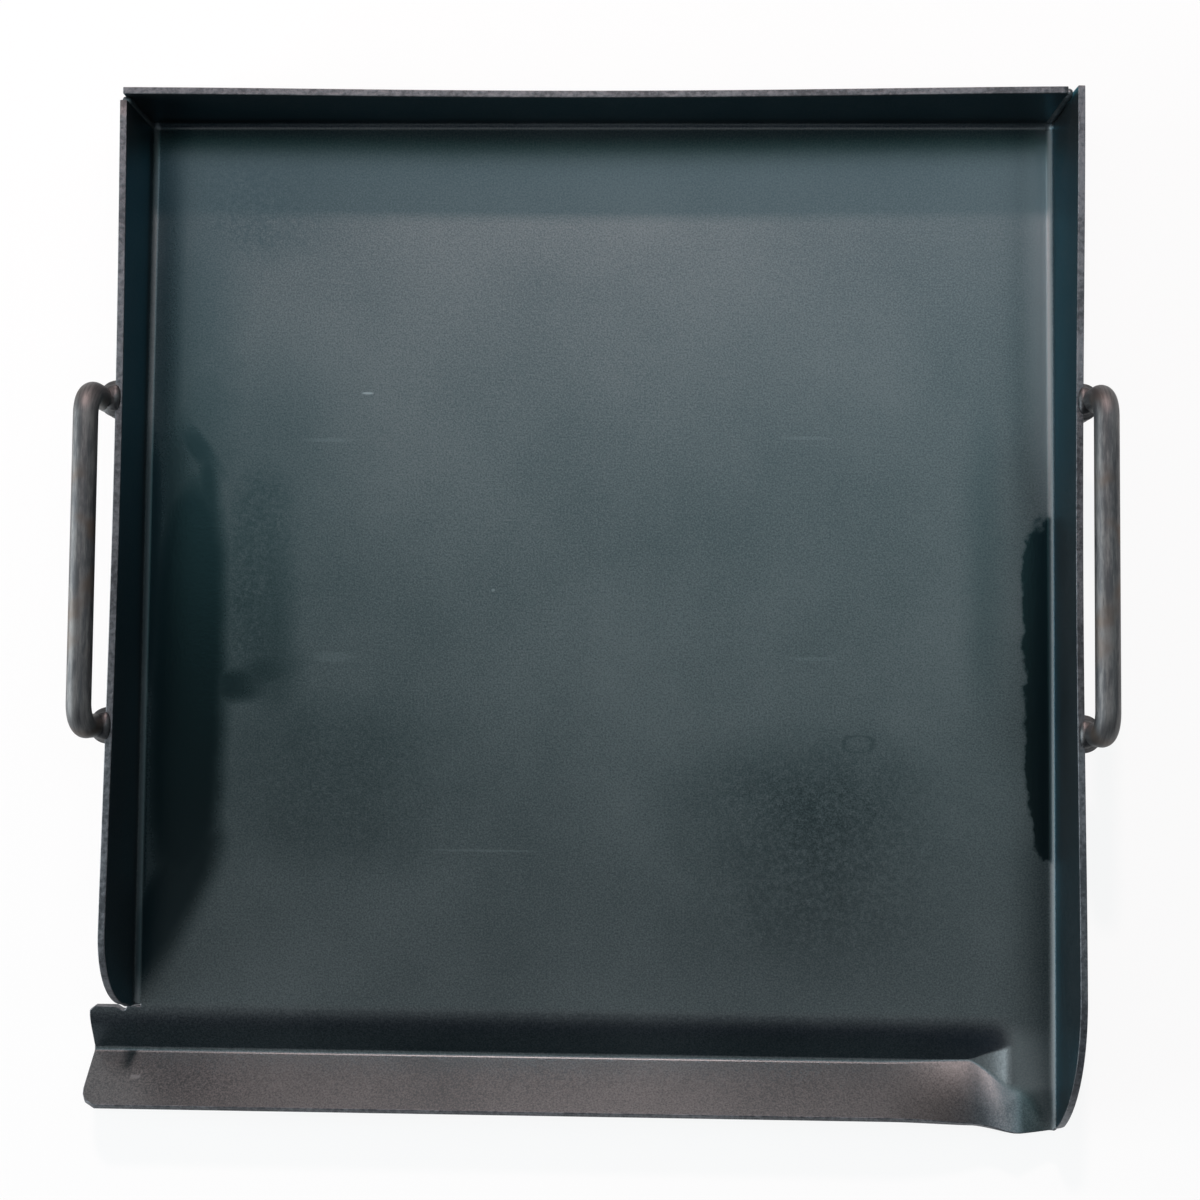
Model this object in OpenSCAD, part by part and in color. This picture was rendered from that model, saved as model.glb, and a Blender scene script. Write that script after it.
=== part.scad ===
// Camp griddle plate: one folded steel sheet with a grease trough, and two welded rod handles.
// Millimetres, +Z up, trough at -Y. The origin is the centre of the plate's flat underside.

/* [Sheet] */
// Thickness of the steel sheet
sheet_t = 3; // [2.5:0.5:3.5]
// Inside radius of the three wall bends
bend_r = 3; // [2.5:0.5:4]

/* [Pan] */
// Inside width between the two side walls
pan_w = 400; // [340:5:480]
// Depth from the inside of the back wall to the end of the left wall
pan_d = 389.5; // [320:0.5:460]
// Height of the walls above the cooking surface
wall_h = 38; // [34:1:44]
// Radius of the left wall's rounded front end
left_end_r = 36; // [36:1:41]
// Radius of the right wall's rounded front end
right_end_r = 70; // [60:1:80]
// How far the back wall's left end stands back from the left wall's outside
back_wall_step = 1.4; // [0.5:0.1:2.5]

/* [Grease trough] */
// Fall of the trough's rear face, degrees
rear_slope = 24.5; // [18:0.5:28]
// Rise of the front lip, degrees
lip_slope = 46.5; // [40:0.5:50]
// Length of the rear face along the sheet
rear_len = 21; // [18:0.5:24]
// Length of the lip along the sheet
lip_len = 29.4; // [26:0.2:32]
// Radius of the soft fold into the trough, at mid-sheet
fold_r = 12; // [8:0.5:12]
// Radius of the valley, at mid-sheet
valley_r = 3.5; // [3:0.5:5]
// Distance from the right wall over which the valley closes
closing_run = 35; // [28:1:45]
// Distance from the right wall's bend over which the lip comes down
lip_run = 72; // [50:1:90]
// How far the blank's front edge is trimmed back at the right wall
corner_trim = 4.3; // [3:0.1:6]

/* [Drain spout] */
// How far the spout stands out past the left wall
spout_out = 17; // [12:0.5:24]
// Width of the slit between the left wall's end and the spout
slit_w = 2.6; // [2:0.1:4]
// Diameter of the round relief hole in the slit
relief_d = 4.4; // [3:0.1:5]
// Distance of the relief hole's centre from the left wall's outside
relief_out = 2.4; // [2:0.1:6]
// Radius of the spout's rear corner
spout_rear_r = 2.5; // [1:0.5:4]
// Radius of the spout's front corner
spout_front_r = 6; // [3:0.5:8]

/* [Handles] */
// Diameter of the round bar
rod_d = 10; // [8:0.5:12]
// Overall length of a handle
handle_len = 148; // [120:1:180]
// Height of the grip's centre above the rim
handle_rise = 18; // [15:1:30]
// Length of leg that laps the outside of the wall
handle_lap = 18; // [14:1:24]
// Bend radius of the bar's centre line
handle_bend_r = 10; // [8:0.5:12]
// Position of the handles' middle along the side walls
handle_y = -3; // [-20:1:20]

/* [Welds] */
// Radius of the fillet of weld round a handle leg, about a line on the wall's face
fillet_r = 7.7; // [7.2:0.1:8.5]
// Radius of the bead that caps the rim at a handle leg
cap_r = 2.4; // [1.5:0.1:2.6]
// Radius of the bead that fills a back corner
seam_r = 2.2; // [2:0.1:2.6]
// How far a corner bead stops below the rim
seam_drop = 3; // [1:0.5:6]

/* [Hidden] */
$fn = 64;

steel_blue = "#39464a";
rod_grey = "#5d5f61";
weld_grey = "#8b8d8c";

// Margin by which cutting shapes overrun what they cut
cut = 20;
// How much of the tip of the left wall's arc its straight end cuts off
end_trim = 0.5;

// Wall and bend positions; the flat floor is centred on the origin
rim_z = sheet_t + wall_h;
bend_out = bend_r + sheet_t;
inner_x = pan_w / 2;
outer_x = inner_x + sheet_t;
flat_x = inner_x - bend_r;
inner_y = (pan_d + bend_r) / 2;
outer_y = inner_y + sheet_t;
flat_y = inner_y - bend_r;
join_y = inner_y - pan_d;

// Trough, measured along the sheet from the line where it leaves the flat floor
lead = 3;
valley_flat = 0.8;
fold_half = fold_r * rear_slope * PI / 360;
crease_half = valley_r * rear_slope * PI / 360;
valley_half = valley_r * lip_slope * PI / 360;
trough_len = lead + rear_len + lip_len;
facet_min = crease_half + valley_half + valley_flat;

// Where the lip starts to come down, where the valley starts to close, and the sections between
lip_x = flat_x - lip_run;
open_x = inner_x - closing_run;
closing_steps = 24;

// How fast the lip comes down and the front edge is trimmed, as powers of the distance
lip_power = 1.75;
trim_power = 1.5;
// Share of the closing run in which the rear crease runs out, and the shortest rear face there
crease_share = 0.55;
rear_min = 6;
// Share of the lip lost to the widening facet, and softening of the front crease at the wall
lip_loss = 0.6;
crease_soften = 12;

// Handles
rod_r = rod_d / 2;
root_gap = 0.1;
rod_x = outer_x + root_gap + rod_r;
leg_y = handle_len / 2 - rod_r;
grip_z = rim_z + handle_rise;
leg_z = rim_z - handle_lap;

// Foot welds: distance above the leg's end, bevel of the fillet's ends, and half length of the cap
foot_margin = 1.5;
fillet_bevel = 1.6;
cap_half = 3;

function clamp01(v) = min(1, max(0, v));
function ramp(w, mid, half) = clamp01((w - mid + half) / (2 * half));

// How far the lip has come down and the valley has closed at x, from 0 in the open trough
// to 1 at the right wall's bend
function lowering(x) = clamp01((x - lip_x) / lip_run);
function closing(x) = clamp01((x - open_x) / (flat_x - open_x));
function crease_fade(x) = clamp01(closing(x) / crease_share);

// Slopes, fold places and end of the cross-section at x
function fall(x) = rear_slope * (1 - pow(crease_fade(x), 3));
function rise(x) = lip_slope * (1 - pow(lowering(x), lip_power));
function sheet_end(x) = trough_len - corner_trim * pow(lowering(x), trim_power);
function rear_crease(x) = lead + rear_min + (rear_len - rear_min) * (1 - crease_fade(x));
function front_crease(x) = sheet_end(x) - (lip_len - facet_min) * (1 - lip_loss * closing(x));
function front_half(x) = valley_half * (1 + crease_soften / valley_r * pow(closing(x), 2));

// Heading of the sheet at the distance w along it, in degrees above level
function heading(w, x) =
    fall(x) * (ramp(w, rear_crease(x), crease_half) - ramp(w, lead, fold_half))
    + rise(x) * ramp(w, front_crease(x), front_half(x));

// Distances along the sheet at which the section has points: five in each bend
function bend_steps(mid, half) = [for (i = [-1:0.5:1]) mid + i * half];
function section_steps(x) = concat(
    [0],
    bend_steps(lead, fold_half),
    bend_steps(rear_crease(x), crease_half),
    bend_steps(front_crease(x), front_half(x)),
    [(front_crease(x) + front_half(x) + sheet_end(x)) / 2, sheet_end(x)]
);

// Mid-sheet points, found by walking along the sheet in the heading it has there
function walk(ws, x) = [
    for (i = 0, p = [0, sheet_t / 2];
         i < len(ws);
         step = i + 1 < len(ws) ? ws[i + 1] - ws[i] : 0,
         a = i + 1 < len(ws) ? heading((ws[i] + ws[i + 1]) / 2, x) : 0,
         p = p + step * [cos(a), sin(a)],
         i = i + 1) p
];

// One closed cross-section: the top face going forward, then the underside coming back
function section(x) =
    let (ws = section_steps(x), mids = walk(ws, x), last = len(ws) - 1)
    concat(
        [for (i = [0:last]) let (a = heading(ws[i], x)) mids[i] + sheet_t / 2 * [-sin(a), cos(a)]],
        [for (i = [last:-1:0]) let (a = heading(ws[i], x)) mids[i] - sheet_t / 2 * [-sin(a), cos(a)]]
    );

// Plan of the spout, and the slit and relief hole behind it
spout_x = -outer_x - spout_out;
spout_rear_y = join_y - slit_w;
spout_front_y = join_y - max([for (p = section(spout_x)) p[0]]);
relief_x = -outer_x - relief_out;

// A bent-up wall in section: a quarter bend that starts level at the origin, then the upright
module wall_section() {
    translate([0, bend_out])
        intersection() {
            difference() {
                circle(bend_out);
                circle(bend_r);
            }
            translate([0, -bend_out])
                square(bend_out);
        }
    translate([bend_r, bend_out])
        square([sheet_t, rim_z - bend_out]);
}

// A wall of the given length, running along +Y with its bend starting at x = 0
module wall(length) {
    translate([0, length, 0])
        rotate([90, 0, 0])
            linear_extrude(length)
                wall_section();
}

// The side view of a side wall, from front to back: the front end is an arc that leaves the rim level
module wall_side(arc_y, arc_r, back_y) {
    translate([arc_y, rim_z - arc_r])
        circle(arc_r);
    translate([arc_y, -cut])
        square([back_y - arc_y, rim_z + cut]);
}

// A side wall with its bend on the flat floor's edge and its front end cut to the arc
module side_wall(front_y, arc_y, arc_r, upright_back_y) {
    intersection() {
        translate([flat_x, front_y, 0])
            wall(upright_back_y - front_y);
        translate([flat_x - cut, 0, 0])
            rotate([90, 0, 90])
                linear_extrude(2 * cut + bend_out)
                    intersection() {
                        wall_side(arc_y, arc_r, upright_back_y);
                        union() {
                            translate([front_y, 0])
                                square([flat_y - front_y, rim_z]);
                            translate([front_y, bend_out])
                                square([upright_back_y - front_y, rim_z - bend_out]);
                        }
                    }
    }
}

// The right wall runs on beside the trough, and its arc meets the blank's trimmed corner at mid-sheet
module right_wall() {
    corner_y = join_y - sheet_end(flat_x);
    drop = rim_z - sheet_t / 2;
    arc_y = corner_y + sqrt(pow(right_end_r, 2) - pow(right_end_r - drop, 2));
    side_wall(corner_y, arc_y, right_end_r, outer_y);
}

// The left wall stops where the trough starts, so that the trough can drain past it
module left_wall() {
    mirror([1, 0, 0])
        side_wall(join_y, join_y + left_end_r - end_trim, left_end_r, flat_y);
}

// The back wall: its bend spans the flat floor, and its upright runs on over the left wall's end
module back_wall() {
    translate([flat_x, flat_y, 0])
        rotate([0, 0, 90])
            wall(2 * flat_x);
    translate([back_wall_step - outer_x, inner_y, bend_out])
        cube([outer_x - back_wall_step - flat_x, sheet_t, rim_z - bend_out]);
}

// The open trough and spout, drawn along the sheet's cross-section and cut to the spout's plan
module open_trough() {
    intersection() {
        translate([lip_x, join_y, 0])
            rotate([90, 0, -90])
                linear_extrude(lip_x - spout_x)
                    polygon(section(spout_x));
        translate([0, 0, -2 * cut])
            linear_extrude(4 * cut)
                trough_plan();
    }
}

// Plan of the trough: rounded spout corners, and a slit that ends in a round relief hole
module trough_plan() {
    rear = [spout_x + spout_rear_r, spout_rear_y - spout_rear_r];
    front = [spout_x + spout_front_r, spout_front_y + spout_front_r];
    difference() {
        union() {
            translate([-flat_x, spout_front_y - cut])
                square([flat_x + lip_x + cut, join_y - spout_front_y + cut]);
            translate([front[0], spout_front_y])
                square([outer_x, spout_rear_y - spout_front_y]);
            translate([spout_x, front[1]])
                square([spout_front_r, rear[1] - front[1]]);
            translate([rear[0], front[1]])
                square([spout_front_r, spout_rear_y - front[1]]);
            translate(front)
                circle(spout_front_r);
            translate(rear)
                circle(spout_rear_r);
        }
        translate([relief_x, spout_rear_y])
            circle(d = relief_d);
    }
}

// The closed right end: cross-sections that fade from the open trough to the flat sheet
module closed_end() {
    rings = [
        for (i = [0:closing_steps])
            let (x = lip_x + lip_run * i / closing_steps)
                [for (p = section(x)) [x, join_y - p[0], p[1]]]
    ];
    count = len(rings[0]);
    points = [for (ring = rings, p = ring) p];
    sides = [
        for (r = [0:closing_steps - 1], i = [0:count - 1])
            let (a = r * count + i, b = r * count + (i + 1) % count, c = b + count, d = a + count)
                each [[a, d, c], [a, c, b]]
    ];
    half = count / 2;
    caps = [
        for (i = [0:half - 2])
            let (a = i, b = i + 1, c = count - 2 - i, d = count - 1 - i, far = closing_steps * count)
                each [[a, b, c], [a, c, d], [far + c, far + b, far + a], [far + d, far + c, far + a]]
    ];
    polyhedron(points, concat(sides, caps));
}

module griddle_plate() {
    color(steel_blue)
        union() {
            translate([-flat_x, join_y, 0])
                cube([2 * flat_x, flat_y - join_y, sheet_t]);
            left_wall();
            right_wall();
            back_wall();
            open_trough();
            closed_end();
        }
}

// A handle on the +X side: a round bar bent into an upright loop
module handle() {
    bend_y = leg_y - handle_bend_r;
    bend_z = grip_z - handle_bend_r;
    color(rod_grey)
        translate([rod_x, handle_y, 0]) {
            for (side = [-1, 1]) {
                translate([0, side * leg_y, leg_z])
                    cylinder(d = rod_d, h = bend_z - leg_z);
                translate([0, side * bend_y, bend_z])
                    rotate([90, 0, 90])
                        rotate([0, 0, side > 0 ? 0 : 90])
                            rotate_extrude(angle = 90)
                                translate([handle_bend_r, 0])
                                    circle(d = rod_d);
            }
            translate([0, bend_y, grip_z])
                rotate([90, 0, 0])
                    cylinder(d = rod_d, h = 2 * bend_y);
        }
}

module left_handle() {
    mirror([1, 0, 0])
        handle();
}

module right_handle() {
    handle();
}

// The weld of one handle leg: a fillet in the corners between bar and wall, and a cap on the rim
module foot_weld(side) {
    fillet = [
        [0, leg_z + foot_margin],
        [fillet_r - fillet_bevel, leg_z + foot_margin],
        [fillet_r, leg_z + foot_margin + 2 * fillet_bevel],
        [fillet_r, rim_z - 2 * fillet_bevel],
        [fillet_r - fillet_bevel, rim_z],
        [0, rim_z]
    ];
    color(weld_grey)
        translate([outer_x, handle_y + side * leg_y, 0])
            difference() {
                union() {
                    rotate_extrude()
                        polygon(fillet);
                    translate([0, 0, rim_z])
                        weld_cap();
                }
                translate([-cut, -cut, -cut])
                    cube([cut, 2 * cut, cut + rim_z]);
                translate([root_gap + rod_r, 0, 0])
                    cylinder(d = rod_d, h = grip_z);
            }
}

// A short bead along Y with round ends
module weld_cap() {
    rotate([90, 0, 0])
        cylinder(r = cap_r, h = 2 * cap_half, center = true);
    for (side = [-1, 1])
        translate([0, side * cap_half, 0])
            sphere(cap_r);
}

module left_rear_foot_weld() {
    mirror([1, 0, 0])
        foot_weld(1);
}

module left_front_foot_weld() {
    mirror([1, 0, 0])
        foot_weld(-1);
}

module right_rear_foot_weld() {
    foot_weld(1);
}

module right_front_foot_weld() {
    foot_weld(-1);
}

// The weld of one back corner: a rounded base where the two bends meet, and an upright seam
// in the gap between one wall's end (along +X) and the inside of the other wall
module corner_weld() {
    seam_top = rim_z - seam_drop - seam_r;
    color(weld_grey)
        union() {
            translate([0, 0, bend_out])
                intersection() {
                    difference() {
                        sphere(bend_out);
                        sphere(bend_r);
                    }
                    translate([0, 0, -bend_out])
                        cube(bend_out);
                }
            intersection() {
                translate([bend_r + sheet_t / 2, bend_r / 2, 0]) {
                    translate([0, 0, bend_r])
                        cylinder(r = seam_r, h = seam_top - bend_r);
                    translate([0, 0, seam_top])
                        sphere(seam_r);
                }
                cube([2 * bend_out, bend_r, rim_z]);
            }
        }
}

module back_left_corner_weld() {
    translate([-flat_x, flat_y, 0])
        mirror([1, 0, 0])
            corner_weld();
}

module back_right_corner_weld() {
    translate([flat_x, flat_y, 0])
        mirror([1, -1, 0])
            corner_weld();
}

griddle_plate();
left_handle();
right_handle();
left_rear_foot_weld();
left_front_foot_weld();
right_rear_foot_weld();
right_front_foot_weld();
back_left_corner_weld();
back_right_corner_weld();
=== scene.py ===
"""Finished look of a camp griddle plate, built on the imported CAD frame.

One folded steel sheet with a grease trough, two upright rod handles and their welds. Sizes are in
millimetres in the CAD's frame, with +Z up and the trough at -Y, and become metres in the meshes.
"""

from __future__ import annotations

import logging
import math
from abc import ABC, abstractmethod
from dataclasses import dataclass
from enum import Enum
from functools import partial, reduce
from typing import Any, Mapping

import bpy
import numpy as np
from mathutils import Matrix, Vector


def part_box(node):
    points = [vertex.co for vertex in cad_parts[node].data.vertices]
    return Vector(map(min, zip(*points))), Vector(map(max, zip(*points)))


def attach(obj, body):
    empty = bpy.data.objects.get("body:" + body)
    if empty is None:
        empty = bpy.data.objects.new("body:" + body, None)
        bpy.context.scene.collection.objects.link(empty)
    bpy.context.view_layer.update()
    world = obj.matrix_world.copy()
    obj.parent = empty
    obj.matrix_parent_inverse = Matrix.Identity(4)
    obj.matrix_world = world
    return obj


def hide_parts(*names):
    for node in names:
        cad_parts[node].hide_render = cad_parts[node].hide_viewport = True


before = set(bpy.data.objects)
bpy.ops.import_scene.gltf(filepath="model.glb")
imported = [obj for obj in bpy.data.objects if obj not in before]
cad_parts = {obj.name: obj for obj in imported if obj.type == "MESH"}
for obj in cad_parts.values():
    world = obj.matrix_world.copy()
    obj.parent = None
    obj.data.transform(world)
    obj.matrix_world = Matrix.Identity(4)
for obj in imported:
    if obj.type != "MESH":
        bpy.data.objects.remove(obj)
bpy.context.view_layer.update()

LOG = logging.getLogger("griddle")
BODY = "root"
MM = 0.001
TINY = 1e-12
BAR_ATTRIBUTE = "bar"

Array = np.ndarray
Colour = tuple[float, float, float]
Span = tuple[float, float]
WHITE = (1.0, 1.0, 1.0)


class Side(Enum):
    """Side of the pan, as the sign of x."""

    LEFT = -1
    RIGHT = 1


class End(Enum):
    """End of a handle, as the sign of y."""

    REAR = 1
    FRONT = -1


class Slot(Enum):
    """Material slots of the CAD record."""

    SHEET = "blued_sheet"
    ROD = "mill_scale_rod"
    WELD = "weld_bead"


def clamp01(value: Array) -> Array:
    """Value held between 0 and 1."""
    return np.clip(value, 0.0, 1.0)


def ramp(w: Array, mid: Array, half: Array) -> Array:
    """Rise from 0 to 1 between mid - half and mid + half."""
    return clamp01((w - mid + half) / (2 * half))


def smooth(value: Array) -> Array:
    """Rise from 0 to 1 with level ends, for a value between 0 and 1."""
    held = clamp01(value)
    return held * held * (3 - 2 * held)


def steps_between(knots: Array, counts: tuple[int, ...]) -> Array:
    """Divide each interval between knots evenly.

    Args:
        knots: rising places, along the first axis.
        counts: number of equal steps in each interval.

    Returns:
        The knots and the places between them, along the first axis.
    """
    shares = [np.arange(count) / count + place for place, count in enumerate(counts)]
    place = np.concatenate([*shares, [len(counts)]])
    low = np.minimum(place.astype(int), len(counts) - 1)
    part = (place - low).reshape(-1, *[1] * (knots.ndim - 1))
    return knots[low] * (1 - part) + knots[low + 1] * part


def walk(steps: Array, heading: Array) -> tuple[Array, Array]:
    """Walk along a curve in its own heading.

    Args:
        steps: lengths of the steps, along the first axis.
        heading: heading in the middle of each step, in radians above the first direction.

    Returns:
        Distances gone along the first direction and across it, from zero.
    """
    start = np.zeros((1, *steps.shape[1:]))
    along = np.concatenate([start, np.cumsum(steps * np.cos(heading), axis=0)])
    across = np.concatenate([start, np.cumsum(steps * np.sin(heading), axis=0)])
    return along, across


def points(x: Array, y: Array, z: Array) -> Array:
    """Stack three coordinates that broadcast to one grid."""
    return np.stack(np.broadcast_arrays(x, y, z), axis=-1)


def mesh_piece(name: str, places: Array, faces: list[list[int]]) -> bpy.types.Object:
    """Put a smooth mesh object into the scene, at the origin.

    Args:
        name: name of the object.
        places: points in millimetres.
        faces: point numbers of each face.

    Returns:
        The object.
    """
    mesh = bpy.data.meshes.new(name)
    mesh.from_pydata((places * MM).tolist(), [], faces)
    mesh.polygons.foreach_set("use_smooth", np.ones(len(faces), dtype=bool))
    mesh.update()
    piece = bpy.data.objects.new(name, mesh)
    bpy.context.scene.collection.objects.link(piece)
    return piece


@dataclass
class GridSurface:
    """A surface as a grid of points over two parameters.

    Attributes:
        grid: points in millimetres, first parameter by rows and second by columns.
        keep: cells that belong to the surface, or None for all.
        closed: whether the columns close on themselves, with a flat cap on the first and last row.
        flip: whether the faces are turned over.
    """

    grid: Array
    keep: Array | None = None
    closed: bool = False
    flip: bool = False

    def quads(self) -> Array:
        """Corner numbers of the kept cells, four to a cell."""
        rows, cols = self.grid.shape[:2]
        index = np.arange(rows * cols).reshape(rows, cols)
        if self.closed:
            index = np.concatenate([index, index[:, :1]], axis=1)
        corners = [index[:-1, :-1], index[1:, :-1], index[1:, 1:], index[:-1, 1:]]
        cells = np.stack(corners[::-1] if self.flip else corners, axis=-1)
        return cells.reshape(-1, 4) if self.keep is None else cells[self.keep]

    def caps(self) -> list[list[int]]:
        """Faces that close the first and the last row."""
        rows, cols = self.grid.shape[:2]
        first = list(range(cols))
        last = [(rows - 1) * cols + number for number in first]
        return [first[::-1], last] if self.flip else [first, last[::-1]]

    def build(self, name: str, attribute: Array | None = None) -> bpy.types.Object:
        """Make a smooth mesh object of the surface.

        Args:
            name: name of the piece.
            attribute: vectors to keep on the points for the material, shaped like the grid.

        Returns:
            The object, at the origin and in the scene.
        """
        used, faces = np.unique(self.quads(), return_inverse=True)
        faces = faces.reshape(-1, 4).tolist()
        if self.closed:
            faces += self.caps()
        piece = mesh_piece(name, self.grid.reshape(-1, 3)[used], faces)
        if attribute is not None:
            layer = piece.data.attributes.new(BAR_ATTRIBUTE, "FLOAT_VECTOR", "POINT")
            layer.data.foreach_set("vector", (attribute.reshape(-1, 3)[used] * MM).ravel())
        return piece


def unit(vectors: Array) -> Array:
    """Vectors scaled to length 1."""
    return vectors / np.maximum(np.linalg.norm(vectors, axis=-1, keepdims=True), TINY)


@dataclass
class ThickSheet:
    """A sheet of even thickness about a mid-surface, whose cut edges are rounded.

    Each face lies half a thickness from the mid-surface along its normal. The edge is a profile
    carried round the outline: a quarter circle outwards, a flat, and a quarter circle back.

    Attributes:
        middle: mid-surface, in millimetres.
        thickness: thickness of the sheet.
        edge_r: radius of the edge, by which it stands out past the mid-surface.
        edge_steps: steps in each quarter circle.
    """

    middle: GridSurface
    thickness: float
    edge_r: float
    edge_steps: int = 3

    def normals(self, at: Array, quads: Array) -> Array:
        """Normals at the points, averaged over the faces that meet there."""
        corners = at[quads]
        faces = np.cross(corners[:, 2] - corners[:, 0], corners[:, 3] - corners[:, 1])
        total = np.zeros_like(at)
        np.add.at(total, quads, faces[:, None, :])
        return unit(total)

    def outline(self, quads: Array) -> tuple[Array, Array]:
        """First and second points of the edges that belong to one face only."""
        first, second = quads.ravel(), np.roll(quads, -1, axis=1).ravel()
        pairs = np.sort(np.stack([first, second], axis=1), axis=1)
        _, which, count = np.unique(pairs, axis=0, return_inverse=True, return_counts=True)
        lone = count[which.ravel()] == 1
        return first[lone], second[lone]

    def build(self, name: str) -> bpy.types.Object:
        """Make the closed sheet.

        Args:
            name: name of the piece.

        Returns:
            The object, with its faces in material 0 and its cut edges in material 1.
        """
        used, quads = np.unique(self.middle.quads(), return_inverse=True)
        quads = quads.reshape(-1, 4)
        at = self.middle.grid.reshape(-1, 3)[used]
        normal = self.normals(at, quads)
        first, second = self.outline(quads)
        outward = np.cross(unit(at[second] - at[first]), unit(normal[first] + normal[second]))
        total = np.zeros_like(at)
        np.add.at(total, first, outward)
        np.add.at(total, second, outward)
        ring = np.unique(first)
        out = unit(total[ring])

        turns = np.linspace(math.pi / 2, 0.0, self.edge_steps + 1)[1:]
        turns = np.concatenate([turns, -turns[::-1]])[:, None, None]
        rise = np.repeat([1.0, -1.0], self.edge_steps)[:, None, None]
        flat = self.thickness / 2 - self.edge_r
        lift = rise * flat + self.edge_r * np.sin(turns)
        edge = at[ring] + self.edge_r * np.cos(turns) * out + lift * normal[ring]
        edge_normal = np.cos(turns) * out + np.sin(turns) * normal[ring]
        half = self.thickness / 2 * normal
        places = np.concatenate([at + half, at - half, edge.reshape(-1, 3)])
        facing = np.concatenate([normal, -normal, unit(edge_normal).reshape(-1, 3)])

        local = np.zeros(len(at), dtype=int)
        local[ring] = np.arange(len(ring))
        base = 2 * len(at) + len(ring) * np.arange(2 * self.edge_steps)[:, None]
        level_a = np.concatenate([[first], base + local[first], [first + len(at)]])
        level_b = np.concatenate([[second], base + local[second], [second + len(at)]])
        strips = np.stack([level_b[:-1], level_a[:-1], level_a[1:], level_b[1:]], axis=-1)
        strips = strips.reshape(-1, 4)
        faces = np.concatenate([quads, quads[:, ::-1] + len(at), strips])
        slots = np.repeat([0, 1], [2 * len(quads), len(strips)])

        piece = mesh_piece(name, places, faces.tolist())
        piece.data.polygons.foreach_set("material_index", slots)
        piece.data.normals_split_custom_set_from_vertices(facing.tolist())
        return piece


@dataclass(frozen=True)
class Noise:
    """A noise pattern.

    Attributes:
        scale: features to a metre.
        detail: number of finer layers.
        rough: strength of each finer layer against the one before.
    """

    scale: float
    detail: float
    rough: float


class Graph:
    """A node tree with short calls for the nodes that the finishes use."""

    def __init__(self, tree: bpy.types.NodeTree) -> None:
        """Empty the tree."""
        self.tree = tree
        tree.nodes.clear()

    def add(self, kind: str, inputs: Mapping[Any, Any] | None = None, **settings: Any) -> bpy.types.Node:
        """Add a node.

        Args:
            kind: type name of the node.
            inputs: constants or sockets by input name or number.
            settings: attributes of the node.

        Returns:
            The node.
        """
        node = self.tree.nodes.new(kind)
        for key, value in settings.items():
            setattr(node, key, value)
        for key, value in (inputs or {}).items():
            if isinstance(value, bpy.types.NodeSocket):
                self.tree.links.new(value, node.inputs[key])
            else:
                node.inputs[key].default_value = value
        return node

    def maths(self, operation: str, *values: Any) -> bpy.types.NodeSocket:
        """Result of one operation on sockets and constants."""
        return self.add("ShaderNodeMath", dict(enumerate(values)), operation=operation).outputs[0]

    def product(self, *values: Any) -> bpy.types.NodeSocket:
        """Product of two or more values."""
        return reduce(partial(self.maths, "MULTIPLY"), values)

    def highest(self, *values: Any) -> bpy.types.NodeSocket:
        """Highest of the values."""
        return reduce(partial(self.maths, "MAXIMUM"), values)

    def rise(self, value: Any, span: Span, length: float = 1.0) -> bpy.types.NodeSocket:
        """Smooth rise from 0 to 1 as the value goes through a span given in units of a length."""
        inputs = {"Value": value, "From Min": span[0] * length, "From Max": span[1] * length}
        return self.add("ShaderNodeMapRange", inputs, interpolation_type="SMOOTHSTEP").outputs[0]

    def between(self, value: Any, span: Span) -> bpy.types.NodeSocket:
        """Value from 0 to 1 turned into one within a span."""
        inputs = {"Value": value, "To Min": span[0], "To Max": span[1]}
        return self.add("ShaderNodeMapRange", inputs).outputs[0]

    def mix(self, share: Any, first: Any, second: Any) -> bpy.types.NodeSocket:
        """Mix of two colours."""
        ends = [(*c, 1.0) if isinstance(c, tuple) else c for c in (first, second)]
        node = self.add("ShaderNodeMix", {0: share, 6: ends[0], 7: ends[1]}, data_type="RGBA")
        return node.outputs[2]

    def stretch(self, vector: Any, scale: Colour) -> bpy.types.NodeSocket:
        """Vector with each axis scaled."""
        return self.add("ShaderNodeMapping", {"Vector": vector, "Scale": scale}).outputs[0]

    def noise(self, vector: Any, pattern: Noise) -> bpy.types.NodeSocket:
        """Noise from 0 to 1."""
        inputs = {"Scale": pattern.scale, "Detail": pattern.detail, "Roughness": pattern.rough}
        return self.add("ShaderNodeTexNoise", {"Vector": vector, **inputs}).outputs[0]

    def axes(self, vector: Any) -> list[bpy.types.NodeSocket]:
        """The x, y and z of a vector."""
        return list(self.add("ShaderNodeSeparateXYZ", {0: vector}).outputs)

    def metal(self, base: Any, rough: Any, height: Any, bump: Span, glancing: Colour = WHITE) -> None:
        """Join a metal to the output.

        Args:
            base: colour.
            rough: roughness.
            height: height field that bends the normal.
            bump: depth of the height field in metres, and its strength.
            glancing: tint of reflections at a glancing angle.
        """
        inputs = {"Height": height, "Distance": bump[0], "Strength": bump[1]}
        normal = self.add("ShaderNodeBump", inputs).outputs[0]
        inputs = {"Base Color": base, "Metallic": 1.0, "Roughness": rough, "Normal": normal}
        inputs["Specular Tint"] = (*glancing, 1.0)
        self.surface(self.add("ShaderNodeBsdfPrincipled", inputs).outputs[0])

    def surface(self, shader: bpy.types.NodeSocket, kind: str = "ShaderNodeOutputMaterial") -> None:
        """Join a shader to the output."""
        self.add(kind, {"Surface": shader})


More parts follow.
